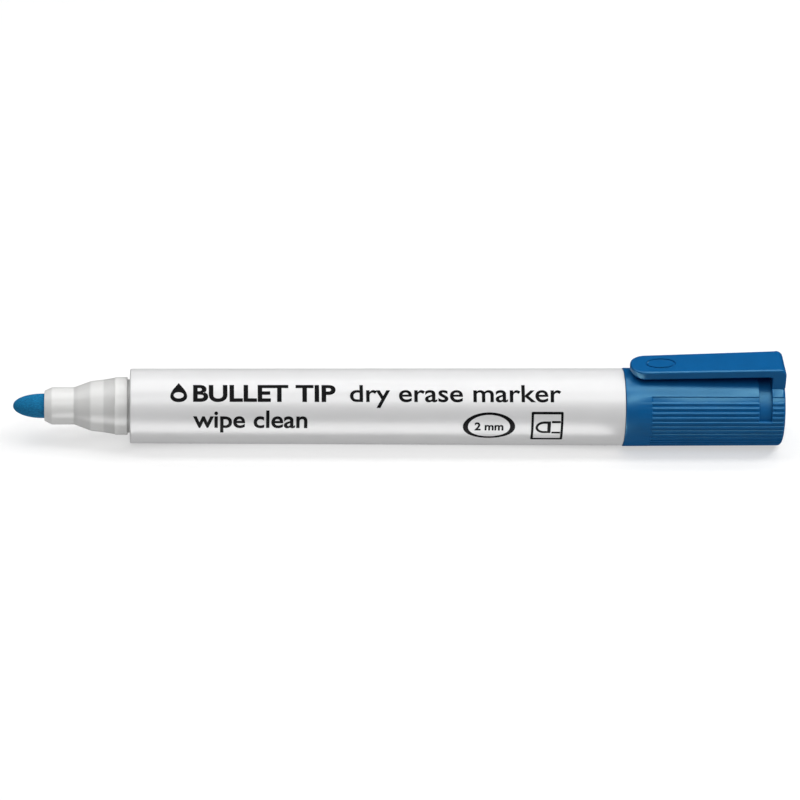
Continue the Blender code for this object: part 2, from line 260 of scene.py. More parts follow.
def between(x, x0, y0, x1, y1):
    """The height at x of the line through two points."""
    return y0 + (y1 - y0) * (x - x0) / (x1 - x0)


def around(x, radius, angle):
    """The point at a distance from the axis and an angle from the clip."""
    return Vector((x, -radius * math.sin(angle), AXIS_Z + radius * math.cos(angle)))


def object_of(name, bm):
    """The finished object of a mesh, smooth but for real edges."""
    bmesh.ops.recalc_face_normals(bm, faces=bm.faces)
    mesh = bpy.data.meshes.new(name)
    bm.to_mesh(mesh)
    bm.free()
    mesh.shade_smooth()
    mesh.set_sharp_from_angle(angle=math.radians(35))
    obj = bpy.data.objects.new(name, mesh)
    bpy.context.scene.collection.objects.link(obj)
    return obj


def turned(name, corners, steps=TURN_STEPS):
    """A closed outline of (x, radius) corners turned about the pen's axis."""
    bm = bmesh.new()
    rings = []
    for x, radius in rounded(corners):
        if radius < 1e-7:
            rings.append([bm.verts.new(around(x, 0, 0))])
        else:
            rings.append([bm.verts.new(around(x, radius, 2 * math.pi * i / steps)) for i in range(steps)])
    for near, far in zip(rings, rings[1:] + rings[:1]):
        for i in range(steps):
            k = (i + 1) % steps
            if len(near) > 1 and len(far) > 1:
                bm.faces.new((near[i], near[k], far[k], far[i]))
            elif len(near) > 1:
                bm.faces.new((near[i], near[k], far[0]))
            elif len(far) > 1:
                bm.faces.new((near[0], far[k], far[i]))
    return object_of(name, bm)


def modified(obj, kind, **settings):
    """Adds a modifier and applies it at once."""
    modifier = obj.modifiers.new(kind, kind)
    for key, value in settings.items():
        setattr(modifier, key, value)
    graph = bpy.context.evaluated_depsgraph_get()
    mesh = bpy.data.meshes.new_from_object(obj.evaluated_get(graph))
    obj.modifiers.clear()
    old = obj.data
    obj.data = mesh
    bpy.data.meshes.remove(old)
    return obj


def cut(obj, cutter):
    """Cuts the shape of another object out of this one. The cutter is used up."""
    modified(obj, "BOOLEAN", operation="DIFFERENCE", object=cutter, solver="EXACT")
    bpy.data.objects.remove(cutter)


def smoothed(obj, angle=35):
    """Flat faces stay flat next to their rounded edges."""
    obj.data.shade_smooth()
    obj.data.set_sharp_from_angle(angle=math.radians(angle))
    return modified(obj, "WEIGHTED_NORMAL", keep_sharp=True, weight=80)


# ---------------------------------------------------------------- materials


def new_material(name, color, roughness, **settings):
    """A Principled material. Other sockets are given by name, with _ for a space."""
    made = bpy.data.materials.new(name)
    made.use_nodes = True
    shader = made.node_tree.nodes["Principled BSDF"]
    shader.inputs["Base Color"].default_value = (*color, 1)
    shader.inputs["Roughness"].default_value = roughness
    for key, value in settings.items():
        shader.inputs[key.replace("_", " ")].default_value = value
    return made


def noise(made, scale, stretch=(1, 1, 1), detail=3.0, distortion=0.0):
    """A noise over the object's own coordinates. scale counts its features per millimetre."""
    nodes, links = made.node_tree.nodes, made.node_tree.links
    place = nodes.new("ShaderNodeTexCoord")
    mapping = nodes.new("ShaderNodeMapping")
    mapping.inputs["Scale"].default_value = stretch
    texture = nodes.new("ShaderNodeTexNoise")
    texture.inputs["Scale"].default_value = scale / MM
    texture.inputs["Detail"].default_value = detail
    texture.inputs["Distortion"].default_value = distortion
    links.new(place.outputs["Object"], mapping.inputs["Vector"])
    links.new(mapping.outputs["Vector"], texture.inputs["Vector"])
    return texture.outputs["Fac"]


def blend_color(made, factor, first, second):
    """The color goes from first, where the factor is low, to second, where it is high."""
    nodes, links = made.node_tree.nodes, made.node_tree.links
    ramp = nodes.new("ShaderNodeValToRGB")
    ramp.color_ramp.elements[0].position = 0.3
    ramp.color_ramp.elements[0].color = (*first, 1)
    ramp.color_ramp.elements[1].position = 0.7
    ramp.color_ramp.elements[1].color = (*second, 1)
    links.new(factor, ramp.inputs["Fac"])
    links.new(ramp.outputs["Color"], nodes["Principled BSDF"].inputs["Base Color"])


def blend_roughness(made, factor, low, high):
    """The roughness goes from low to high with the factor."""
    nodes, links = made.node_tree.nodes, made.node_tree.links
    span = nodes.new("ShaderNodeMapRange")
    span.inputs["From Min"].default_value = 0.3
    span.inputs["From Max"].default_value = 0.7
    span.inputs["To Min"].default_value = low
    span.inputs["To Max"].default_value = high
    links.new(factor, span.inputs["Value"])
    links.new(span.outputs["Result"], nodes["Principled BSDF"].inputs["Roughness"])


def add_bump(made, height, distance):
    """Bumps of a real height, in metres. A second call lies over the first."""
    nodes, links = made.node_tree.nodes, made.node_tree.links
    shader = nodes["Principled BSDF"]
    bump = nodes.new("ShaderNodeBump")
    bump.inputs["Strength"].default_value = 1.0
    bump.inputs["Distance"].default_value = distance
    if shader.inputs["Normal"].links:
        links.new(shader.inputs["Normal"].links[0].from_socket, bump.inputs["Normal"])
    links.new(height, bump.inputs["Height"])
    links.new(bump.outputs["Normal"], shader.inputs["Normal"])


def scaled(color, factor):
    """The color, brighter or darker by a factor."""
    return tuple(channel * factor for channel in color)


def paint_shade_along(made, color, tones):
    """Painted shade along the pen: the color's tone falls where the steps face away from the light. tones
    are (millimetres ahead of the shoulder, share).
    """
    nodes, links = made.node_tree.nodes, made.node_tree.links
    place = nodes.new("ShaderNodeTexCoord")
    split = nodes.new("ShaderNodeSeparateXYZ")
    span = nodes.new("ShaderNodeMapRange")
    ramp = nodes.new("ShaderNodeValToRGB")
    places = [SHOULDER_X - ahead * MM for ahead, share in tones]
    start, end = places[0], places[-1]
    span.inputs["From Min"].default_value = start
    span.inputs["From Max"].default_value = end
    stops = ramp.color_ramp.elements
    while len(stops) < len(tones):
        stops.new(0.5)
    for stop, x, (ahead, share) in zip(stops, places, tones):
        stop.position = (x - start) / (end - start)
        stop.color = (*scaled(color, share), 1)
    links.new(place.outputs["Object"], split.inputs["Vector"])
    links.new(split.outputs["X"], span.inputs["Value"])
    links.new(span.outputs["Result"], ramp.inputs["Fac"])
    links.new(ramp.outputs["Color"], nodes["Principled BSDF"].inputs["Base Color"])


def barrel_material():
    """White satin polypropylene, with faint flow lines along the tube."""
    made = new_material("barrel_plastic", WHITE, 0.33, Specular_IOR_Level=0.8)
    blend_color(made, noise(made, 0.12, detail=2), scaled(WHITE, 0.985), scaled(WHITE, 1.015))
    blend_roughness(made, noise(made, 0.35), 0.30, 0.37)
    add_bump(made, noise(made, 1.2, stretch=(0.08, 1, 1)), 0.0015 * MM)
    add_bump(made, noise(made, 5.0, detail=2), 0.0008 * MM)
    return made


def section_material():
    """Natural polypropylene: milky and a little translucent, with painted shade on the cones and in the
    groove, which face away from the light.
    """
    made = new_material(
        "nose_plastic",
        NATURAL,
        0.32,
        Subsurface_Weight=0.15,
        Subsurface_Radius=(1, 1, 1),
        Subsurface_Scale=0.9 * MM,
    )
    # Painted shade: the cones and the groove get darker tones than the rest of the nose
    paint_shade_along(made, NATURAL, NOSE_PAINTED_SHADE)
    blend_roughness(made, noise(made, 0.8), 0.29, 0.35)
    add_bump(made, noise(made, 1.5), 0.002 * MM)
    return made


def nib_material():
    """Ink-soaked felt: short fibres along the nib, with darker pores."""
    made = new_material("nib_wick", WET_FELT, 0.85, Specular_IOR_Level=0.15)
    fibres = noise(made, 9.0, stretch=(0.22, 1, 1), detail=4, distortion=0.4)
    blend_color(made, fibres, scaled(WET_FELT, 0.62), scaled(WET_FELT, 1.35))
    blend_roughness(made, noise(made, 6.0), 0.75, 0.95)
    add_bump(made, fibres, 0.05 * MM)
    return made


def blue_material(name, low, high):
    """Blue polypropylene, with a roughness from low to high and the fine grain of its mould."""
    gloss = (*BLUE_GLOSS, 1)
    made = new_material(name, BLUE, (low + high) / 2, Specular_IOR_Level=0.8, Specular_Tint=gloss)
    blend_color(made, noise(made, 0.25, detail=2), scaled(BLUE, 0.94), scaled(BLUE, 1.06))
    blend_roughness(made, noise(made, 0.6), low, high)
    add_bump(made, noise(made, 1.0), 0.0015 * MM)
    add_bump(made, noise(made, 6.0, detail=3), 0.001 * MM)
    return made


def fibre_material():
    """The reservoir's polyester fibre: a bundle of threads along the rod."""
    made = new_material("fibre_bundle", SOAKED_FIBRE, 0.95, Sheen_Weight=0.3)
    threads = noise(made, 7.0, stretch=(0.05, 1, 1), detail=4)
    blend_color(made, threads, scaled(SOAKED_FIBRE, 0.6), scaled(SOAKED_FIBRE, 1.5))
    add_bump(made, threads, 0.06 * MM)
    return made


def film_material():
    """The reservoir's clear film, slightly wrinkled."""
    made = new_material("clear_film", CLEAR_FILM, 0.15, Transmission_Weight=0.6, IOR=1.5)
    blend_roughness(made, noise(made, 0.5), 0.1, 0.25)
    add_bump(made, noise(made, 0.8, stretch=(0.3, 1, 1)), 0.02 * MM)
    return made


def print_material():
    """Black screen-printed ink, with slightly uneven cover."""
    made = new_material("print_black", BLACK, 0.4, Specular_IOR_Level=0.05)
    blend_color(made, noise(made, 3.0), scaled(BLACK, 0.7), scaled(BLACK, 1.6))
    blend_roughness(made, noise(made, 2.0), 0.35, 0.5)
    add_bump(made, noise(made, 6.0), 0.001 * MM)
    return made


def floor_material():
    """Matt and pale, with a glow of its own that keeps the pen's shadow light."""
    glow = {"Emission_Color": (1, 1, 1, 1), "Emission_Strength": 0.55}
    made = new_material("floor_pale", PALE, 0.9, Specular_IOR_Level=0.1, **glow)
    blend_color(made, noise(made, 0.01), scaled(PALE, 0.998), scaled(PALE, 1.002))
    return made


# ---------------------------------------------------------------- pieces


def dress(obj, body, made, *nodes, slot=None):
    """Gives a piece its material, its body and the CAD nodes it stands for."""
    obj.data.materials.clear()
    obj.data.materials.append(made)
    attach(obj, body)
    if nodes:
        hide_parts(*nodes)
    return obj


def barrel_radius(x):
    """The barrel's outer radius, which grows towards the rear."""
    share = (x - SHOULDER_X) / (BARREL_END_X - SHOULDER_X)
    return BARREL_REAR_RADIUS - BARREL_DRAFT * (1 - share)


def make_barrel():
    """The tube. It runs on past the plug's seat to the cap's mouth."""
    front = barrel_radius(SHOULDER_X)
    bore = front - BARREL_WALL
    seat = bore + SEAT_STEP
    seat_start = BARREL_END_X - SEAT_DEPTH
    rear = cap_low.x - MOUTH_GAP
    corners = [
        (SHOULDER_X, bore, 0.12 * MM),
        (SHOULDER_X, front, BARREL_EDGE_ROUND),
        (rear, BARREL_REAR_RADIUS, 0.12 * MM),
        (rear, seat, 0.1 * MM),
        (seat_start, seat),
        (seat_start, bore),
    ]
    return smoothed(turned("barrel_tube", corners))


def make_front_section():
    """The stepped nose: rim, nose cylinder, cone, band, cone, ring and the groove at the shoulder."""
    nose_end = section_low.x
    hole = NIB_RADIUS + NIB_FIT
    band = RING_RADIUS - BAND_STEP
    band_front = SHOULDER_X - BAND_FRONT_PLACE
    ring_front = SHOULDER_X - RING_PLACE
    groove = SHOULDER_X - GROOVE_PLACE
    groove_floor = RING_RADIUS - GROOVE_DEPTH
    inside = SHOULDER_X + SPIGOT_SHOWN
    corners = [
        (nose_end, hole, 0.05 * MM),
        (nose_end, NIB_RADIUS + NOSE_RIM_WALL, 0.12 * MM),
        (nose_end + NOSE_CHAMFER, NOSE_RADIUS, 0.35 * MM),
        (SHOULDER_X - CONE_PLACE, NOSE_RADIUS, 0.25 * MM),
        (band_front, band - BAND_DRAFT, 0.15 * MM),
        (band_front + BAND_EDGE.x, band - BAND_DRAFT + BAND_EDGE.y, 0.10 * MM),
        (SHOULDER_X - BAND_REAR_PLACE, band, 0.15 * MM),
        (ring_front - 0.05 * MM, RING_RADIUS - RING_STEP, 0.03 * MM),
        (ring_front, RING_RADIUS, 0.08 * MM),
        (groove, RING_RADIUS, 0.10 * MM),
        (groove, groove_floor, 0.05 * MM),
        (inside, groove_floor),
        (inside, hole),
    ]
    return smoothed(turned("section_nose", corners), angle=50)


def make_nib():
    """The bullet tip, slightly fuller than an ellipse, and the rod's visible end."""
    base = nib_low.x + NIB_TIP_LENGTH
    steps = 28
    tip = []
    for i in range(steps + 1):
        angle = math.pi / 2 * i / steps
        radius = NIB_RADIUS * math.sin(angle) ** NIB_BLUNTNESS
        tip.append((base - NIB_TIP_LENGTH * math.cos(angle), radius))
    inside = section_low.x + NIB_SUNK
    return turned("nib_bullet", [*tip, (inside, NIB_RADIUS), (inside, 0)], steps=128)


def make_plug():
    """The collar in the barrel's end and the hollow post, with a dimple in the post's end."""
    post_end = plug_high.x
    seat = BARREL_END_X - COLLAR_LENGTH
    collar = barrel_radius(SHOULDER_X) - BARREL_WALL + COLLAR_STEP
    hollow = POST_RADIUS - PLUG_WALL
    dimple = post_end - DIMPLE_DEPTH
    corners = [
        (seat, hollow),
        (seat, collar),
        (BARREL_END_X, collar, 0.12 * MM),
        (BARREL_END_X, POST_RADIUS, 0.20 * MM),
        (post_end, POST_RADIUS, POST_ROUND),
        (post_end, DIMPLE_RADIUS, 0.1 * MM),
        (dimple, DIMPLE_RADIUS - 0.1 * MM, 0.1 * MM),
        (dimple, 0),
        (post_end - PLUG_WALL, 0),
        (post_end - PLUG_WALL, hollow),
    ]
    return smoothed(turned("plug_post", corners))


def make_liner():
    """The inner cap: the gripping sleeve, the cone and the cup, and the skirt behind the vent window."""
    front, rear = liner_low.x, liner_high.x
    grip = POST_RADIUS + LINER_FIT
    outer = CAP_BORE - LINER_TO_BORE
    cone = plug_high.x + POST_CLEARANCE
    cup = NOSE_RADIUS + LINER_FIT
    cup_end = cap_low.x + CUP_PLACE
    corners = [
        (front, grip, 0.15 * MM),
        (front, outer, 0.12 * MM),
        (rear, outer, 0.08 * MM),
        (rear, grip, 0.08 * MM),
        (cone + CUP_WEB, grip, 0.2 * MM),
        (cone + CUP_WEB + CUP_CONE_LENGTH, cup + LINER_WALL, 0.2 * MM),
        (cup_end + LINER_WALL, cup + LINER_WALL, 0.4 * MM),
        (cup_end + LINER_WALL, 0),
        (cup_end, 0),
        (cup_end, cup, 0.4 * MM),
        (cone + CUP_CONE_LENGTH, cup, 0.2 * MM),
        (cone, grip, 0.2 * MM),
    ]
    return smoothed(turned("cap_liner_sleeve", corners))


# ---- the cap shell


def smooth_step(value):
    """0 below 0 and 1 above 1, and a smooth way up between them."""
    value = min(max(value, 0.0), 1.0)
    return value * value * (3 - 2 * value)


def from_clip(angle):
    """The angle to the clip the short way round. The cap is the same on both sides of the clip."""
    return min(angle, 2 * math.pi - angle)


def rib_floor(angle):
    """1 on the floors between the ribs, 0 on their crests and in the smooth zone. A rib has a round top
    over steep flanks."""
    past_zone = (from_clip(angle) - SMOOTH_ZONE) * CAP_RADIUS
    if past_zone <= 0:
        return 0.0
    pitch = 2 * math.pi / RIB_PLACES
    nearest = max(round(from_clip(angle) / pitch) * pitch, FIRST_RIB)
    across = abs(from_clip(angle) - nearest) * CAP_RADIUS
    half = RIB_TOP_WIDTH / 2
    bend = (half**2 + RIB_TOP_HEIGHT**2) / (2 * RIB_TOP_HEIGHT)
    if across < half:
        below = bend - math.sqrt(bend**2 - across**2)
    else:
        below = RIB_TOP_HEIGHT + (RIB_DEPTH - RIB_TOP_HEIGHT) * (across - half) / RIB_FLANK
    return min(smooth_step(past_zone / PANEL_STEP), below / RIB_DEPTH, 1.0)


def cap_radius(x):
    """The cap's outer radius over its crests."""
    return CAP_RADIUS - CAP_DRAFT * (x - cap_low.x) / (cap_high.x - cap_low.x)


def window_ends():
    """Where the vent window starts and stops along the cap."""
    stop = cap_high.x - WINDOW_TO_END
    return stop - WINDOW_WIDTH, stop


def window_distance(x, angle):
    """How far a place on the shell lies outside the vent window."""
    start, stop = window_ends()
    along = max(start - x, x - stop, 0.0)
    across = max(from_clip(angle) - WINDOW_REACH, 0.0) * CAP_RADIUS
    return math.hypot(along, across)


def cap_rows():
    """(x, radius) of the shell's rows: outside from the mouth to the end, and inside back to the window."""
    mouth, end = cap_low.x, cap_high.x
    bottom = end - CAP_END_WALL
    end_radius = cap_radius(end)
    lip = fillet((bottom, CAP_BORE), (mouth, CAP_BORE), (mouth, CAP_RADIUS), CAP_LIP_ROUND)
    lip += fillet((mouth, CAP_BORE), (mouth, CAP_RADIUS), (end, end_radius), CAP_MOUTH_ROUND)
    end_edge = fillet((mouth, CAP_RADIUS), (end, end_radius), (end, 0), CAP_END_ROUND)
    bottom_edge = fillet((bottom, 0), (bottom, CAP_BORE), (mouth, CAP_BORE), CAP_BOTTOM_ROUND)
    start, stop = window_ends()
    edges = [start - WINDOW_ROUND * step for step in (1, 0.6, 0.3, 0.1, 0)]
    edges += [stop + WINDOW_ROUND * step for step in (0, 0.1, 0.3, 0.6, 1)]
    ramp = [mouth + RIB_START + RIB_RAMP * step for step in (0, 0.25, 0.5, 0.75, 1)]
    plain = [mouth + 2 * MM, mouth + 12 * MM, mouth + 20 * MM]
    outside = lip + [(x, cap_radius(x)) for x in sorted(ramp + edges + plain)] + end_edge
    inside = bottom_edge + [(x, CAP_BORE) for x in reversed(edges)]
    return outside, inside


def shell_point(x, radius, angle):
    """A point outside: it lies lower between the ribs, and it rounds into the window."""
    ribbed = smooth_step((x - cap_low.x - RIB_START) / RIB_RAMP)
    lowered = cap_radius(x) - RIB_DEPTH * rib_floor(angle) * ribbed
    near = WINDOW_ROUND - min(window_distance(x, angle), WINDOW_ROUND)
    dip = WINDOW_ROUND - math.sqrt(max(WINDOW_ROUND**2 - near**2, 0.0))
    return around(x, min(radius, lowered) - dip, angle)


def make_cap_shell():
    """The ribbed shell, closed round its vent window and at its end."""
    steps = RIB_STEPS * RIB_PLACES
    outside, inside = cap_rows()
    angles = [2 * math.pi * i / steps for i in range(steps)]
    bm = bmesh.new()
    rows = [[bm.verts.new(shell_point(x, r, a)) for a in angles] for x, r in outside]
    rows += [[bm.verts.new(around(x, r, a)) for a in angles] for x, r in inside]
    places = [x for x, r in outside + inside]
    tip = bm.verts.new(around(cap_high.x, 0, 0))
    deep = bm.verts.new(around(cap_high.x - CAP_END_WALL, 0, 0))
    for row, (near, far) in enumerate(zip(rows, rows[1:] + rows[:1])):
        middle_x = (places[row] + places[(row + 1) % len(rows)]) / 2
        for i in range(steps):
            k = (i + 1) % steps
            if near is rows[len(outside) - 1]:
                # The shell's end, outside and inside
                bm.faces.new((near[i], near[k], tip))
                bm.faces.new((far[k], far[i], deep))
            elif window_distance(middle_x, angles[i] + math.pi / steps) > 0:
                bm.faces.new((near[i], near[k], far[k], far[i]))
    close_window(bm, steps, outside, inside, rows)
    loose = [v for v in bm.verts if not v.link_faces]
    bmesh.ops.delete(bm, geom=loose, context="VERTS")
    return object_of("cap_ribbed_shell", bm)


def row_at(x, places):
    """The number of the row at a place along the cap."""
    return next(i for i, (row_x, radius) in enumerate(places) if abs(row_x - x) < 1e-9)


def close_window(bm, steps, outside, inside, rows):
    """The walls of the vent window, from the outer surface to the bore."""
    outer_rows = [row_at(x, outside) for x in window_ends()]
    inner_rows = [len(outside) + row_at(x, inside) for x in window_ends()]
    reach = round(WINDOW_REACH / (2 * math.pi) * steps)
    for outer, inner in zip(outer_rows, inner_rows):
        for i in range(-reach, reach):
            bm.faces.new((rows[outer][i], rows[outer][i + 1], rows[inner][i + 1], rows[inner][i]))
    for side in (-reach, reach):
        outer_line = [rows[i][side] for i in range(outer_rows[0], outer_rows[1] + 1)]
        inner_line = [rows[i][side] for i in range(inner_rows[0], inner_rows[1] - 1, -1)]
        bm.faces.new(outer_line + inner_line[::-1])


# ---- the clip


def clip_half_width(x):
    """Half the clip's width: it narrows towards its free end, which is rounded."""
    tip_half = CLIP_TIP_WIDTH / 2
    root_half = (clip_high.y - clip_low.y) / 2
    half = between(x, clip_low.x, tip_half, clip_high.x, root_half)
    inset = max(CLIP_TIP_ROUND - (x - clip_low.x), 0)
    return half - CLIP_TIP_ROUND + math.sqrt(CLIP_TIP_ROUND**2 - inset**2)


def clip_stations():
    """(outer point, inner point, half width) along the clip in (x, z), from its free end to its foot."""
    tip, rear = clip_low.x, clip_high.x
    top = clip_high.z - AXIS_Z
    bend = rear - CLIP_CORNER_ROUND
    inner_bend = rear - CLIP_LEG - CLIP_INNER_ROUND
    tip_under = CAP_RADIUS + CLIP_TIP_GAP
    tip_top = tip_under + CLIP_THICKNESS
    root_under = cap_radius(rear) + CLIP_ROOT_GAP
    root_half = (clip_high.y - clip_low.y) / 2
    arm_start = tip + CLIP_TIP_ROUND
    arm = [tip + CLIP_TIP_ROUND * (1 - math.cos(math.pi / 2 * i / 16)) for i in range(1, 17)]
    arm += [arm_start + (inner_bend - arm_start) * i / 12 for i in range(1, 13)]
    stations = []
    for x in arm:
        ease = max(1 - (x - tip) / CLIP_LEAD_LENGTH, 0) ** 2
        to_tip = max(CLIP_EDGE_ROUND - (x - tip), 0)
        edge = CLIP_EDGE_ROUND - math.sqrt(CLIP_EDGE_ROUND**2 - to_tip**2)
        outer = between(x, tip, tip_top, bend, top) - edge
        under = between(x, tip, tip_under, rear - CLIP_LEG, root_under)
        inner = under + CLIP_LEAD_RISE * ease + 0.4 * edge
        outer_x = between(x, tip, tip, inner_bend, bend)
        stations.append(((outer_x, outer), (x, inner), clip_half_width(x)))
    for i in range(1, BEND_STEPS + 1):
        angle = math.pi / 2 * i / BEND_STEPS
        rise, run = 1 - math.cos(angle), math.sin(angle)
        outer = (bend + CLIP_CORNER_ROUND * run, top - CLIP_CORNER_ROUND * rise)
        inner = (inner_bend + CLIP_INNER_ROUND * run, root_under - CLIP_INNER_ROUND * rise)
        stations.append((outer, inner, root_half))
    stations.append(((rear, CLIP_FOOT_HEIGHT), (rear - CLIP_LEG, CLIP_FOOT_HEIGHT), root_half))
    return stations


def clip_section(outer, inner, half):
    """The points of a rounded rectangle that spans from the outer to the inner point."""
    across = Vector((inner[0] - outer[0], 0, inner[1] - outer[1]))
    depth = across.length
    across.normalize()
    radius = min(CLIP_EDGE_ROUND, 0.45 * depth, 0.9 * half)
    ring = []
    for depth_side, width_side, start in ((0, 1, 0), (1, 1, 1), (1, -1, 2), (0, -1, 3)):
        middle_depth = radius + depth_side * (depth - 2 * radius)
        middle_width = width_side * (half - radius)
        for i in range(FILLET_STEPS + 1):
            angle = math.pi / 2 * (start + i / FILLET_STEPS)
            down = middle_depth - radius * math.cos(angle)
            side = middle_width + radius * math.sin(angle)
            ring.append(Vector((outer[0], side, outer[1] + AXIS_Z)) + across * down)
    return ring


def make_oval_cutter():
    """An elliptical ring whose lower part sinks into the clip's top face."""
    bm = bmesh.new()
    tip_top = CAP_RADIUS + CLIP_TIP_GAP + CLIP_THICKNESS + AXIS_Z
    slope = (clip_high.z - tip_top) / (clip_high.x - CLIP_CORNER_ROUND - clip_low.x)
    steps, tube_steps = 72, 12
    rings = []
    for i in range(steps):
        turn = 2 * math.pi * i / steps
        ring = []
        for k in range(tube_steps):
            tube = 2 * math.pi * k / tube_steps
            reach = OVAL_GROOVE * math.cos(tube)
            x = OVAL_PLACE + (OVAL_LENGTH / 2 + reach) * math.cos(turn)
            y = (OVAL_WIDTH / 2 + reach) * math.sin(turn)
            z = tip_top + slope * x + OVAL_GROOVE * (math.sin(tube) - 0.5)
            ring.append(bm.verts.new((clip_low.x + x, y, z)))
        rings.append(ring)
    for ring, after in zip(rings, rings[1:] + rings[:1]):
        for k in range(tube_steps):
            n = (k + 1) % tube_steps
            bm.faces.new((ring[k], ring[n], after[n], after[k]))
    return object_of("oval_cutter", bm)


def make_clip():
    """The clip: rounded sections swept from its tip over the bend, and its foot cut to follow the shell."""
    bm = bmesh.new()
    rings = [[bm.verts.new(point) for point in clip_section(*station)] for station in clip_stations()]
    count = len(rings[0])
    for ring, after in zip(rings, rings[1:]):
        for i in range(count):
            k = (i + 1) % count
            bm.faces.new((ring[i], ring[k], after[k], after[i]))
    bm.faces.new(rings[0][::-1])
    bm.faces.new(rings[-1])
    clip = object_of("clip_arm_and_leg", bm)
    end = cap_high.x + 5 * MM
    shell = [
        (cap_low.x, 0),
        (cap_low.x, CAP_RADIUS + CLIP_SEAM),
        (end, cap_radius(end) + CLIP_SEAM),
        (end, 0),
    ]
    cut(clip, turned("foot_cutter", shell))
    cut(clip, make_oval_cutter())
    return smoothed(clip, angle=40)


# ---- printing on the barrel


def flat_text(words, bold):
    """Flat lettering in Blender's own font, made bolder by an offset of its outlines."""
    curve = bpy.data.curves.new("text", "FONT")
    curve.body = words
    curve.offset = bold
    curve.resolution_u = 6
    return curve


def flat_shape(loops):
    """A flat filled shape, of which only the proportions count. A loop inside another is a hole in it."""
    curve = bpy.data.curves.new("shape", "CURVE")
    curve.dimensions = "2D"
    curve.fill_mode = "BOTH"
    for loop in loops:
        spline = curve.splines.new("POLY")
        spline.points.add(len(loop) - 1)
        for point, (x, y) in zip(spline.points, loop):
            point.co = (x, y, 0, 1)
        spline.use_cyclic_u = True
    return curve


def filled(curve):
    """The flat mesh of a text or shape. The curve is used up."""
    flat = bpy.data.objects.new("flat", curve)
    bpy.context.scene.collection.objects.link(flat)
    graph = bpy.context.evaluated_depsgraph_get()
    mesh = bpy.data.meshes.new_from_object(flat.evaluated_get(graph))
    bpy.data.objects.remove(flat)
    bpy.data.curves.remove(curve)
    bm = bmesh.new()
    bm.from_mesh(mesh)
    bpy.data.meshes.remove(mesh)
    bmesh.ops.remove_doubles(bm, verts=bm.verts, dist=1e-5)
    return bm


def printed(name, curve, made):
    """A flat text or shape, fitted into its place and wrapped round the barrel as a thin layer of ink. Until
    it is wrapped, its y is an angle above the horizon."""
    start, end, below, above = PRINT_PLACES[name]
    x0, x1 = SHOULDER_X + start * MM, SHOULDER_X + end * MM
    low, high = CAMERA_ELEVATION + math.radians(below), CAMERA_ELEVATION + math.radians(above)
    bm = filled(curve)
    xs = [v.co.x for v in bm.verts]
    ys = [v.co.y for v in bm.verts]
    for v in bm.verts:
        v.co.x = between(v.co.x, min(xs), x0, max(xs), x1)
        v.co.y = between(v.co.y, min(ys), low, max(ys), high)
        v.co.z = 0
    slices = max(2, round(math.degrees(high - low) / 2))
    for i in range(1, slices):
        level = low + (high - low) * i / slices
        geom = bm.verts[:] + bm.edges[:] + bm.faces[:]
        bmesh.ops.bisect_plane(bm, geom=geom, plane_co=(0, level, 0), plane_no=(0, 1, 0), dist=1e-6)
    bmesh.ops.recalc_face_normals(bm, faces=bm.faces)
    top = bmesh.ops.extrude_face_region(bm, geom=bm.faces[:])["geom"]
    raised = {v for v in top if isinstance(v, bmesh.types.BMVert)}
    for v in bm.verts:
        radius = barrel_radius(v.co.x) + (PRINT_DEPTH if v in raised else -PRINT_DEPTH)
        v.co = around(v.co.x, radius, math.pi / 2 - v.co.y)
    return dress(object_of(name, bm), "pen", made)


def ellipse(half_width, half_height, y=0.0, steps=64):
    """A loop round (0, y)."""
    turns = [2 * math.pi * i / steps for i in range(steps)]
    return [(half_width * math.cos(turn), y + half_height * math.sin(turn)) for turn in turns]


def ink_drop(steps=40):
    """A loop: round below, and drawn out to a point above."""
    turns = [2 * math.pi * i / steps for i in range(steps)]
    return [(math.sin(turn) * math.sin(turn / 2) ** 1.5, 1.35 * math.cos(turn)) for turn in turns]


def box_loop(x0, y0, x1, y1, radius):
    """A rounded rectangle between two corners."""
    return rounded([(x0, y0, radius), (x1, y0, radius), (x1, y1, radius), (x0, y1, radius)])


def half_oval(tip, end, half, steps=24):
    """The outline of a bullet that points to -X, open at its end."""
    turns = [math.pi * i / steps for i in range(steps + 1)]
    return [(end - (end - tip) * math.sin(turn), half * math.cos(turn)) for turn in turns]


def bullet_icon():
    """A square with the side view of a bullet tip and its holder in it."""
    outside = [(0.75, 1.35), *half_oval(-2.4, -0.6, 1.35), (0.75, -1.35)]
    inside = [(0.05, 0.85), *half_oval(-1.9, -0.6, 0.85), (0.05, -0.85)]
    upper = box_loop(0.95, 1.0, 2.75, 1.45, 0.05)
    lower = box_loop(0.95, -1.45, 2.75, -1.0, 0.05)
    frames = [box_loop(-3.3, -3.3, 3.3, 3.3, 0.25), box_loop(-2.8, -2.8, 2.8, 2.8, 0.1)]
    return [*frames, outside, inside, upper, lower]


def make_prints():
    """The barrel's print: generic words and signs."""
    made = print_material()
    drop = [ink_drop(), ellipse(0.42, 0.42, y=-0.45)]
    ring = [ellipse(5.15, 3.1), ellipse(4.15, 2.6)]
    printed("print_drop", flat_shape(drop), made)
    printed("print_title", flat_text("BULLET TIP", 0.03), made)
    printed("print_subtitle", flat_text("wipe clean", 0.018), made)
    printed("print_kind", flat_text("dry erase marker", 0.012), made)
    printed("print_oval", flat_shape(ring), made)
    printed("print_width", flat_text("2 mm", 0.03), made)
    printed("print_tip", flat_shape(bullet_icon()), made)


# ---------------------------------------------------------------- camera, light and floor


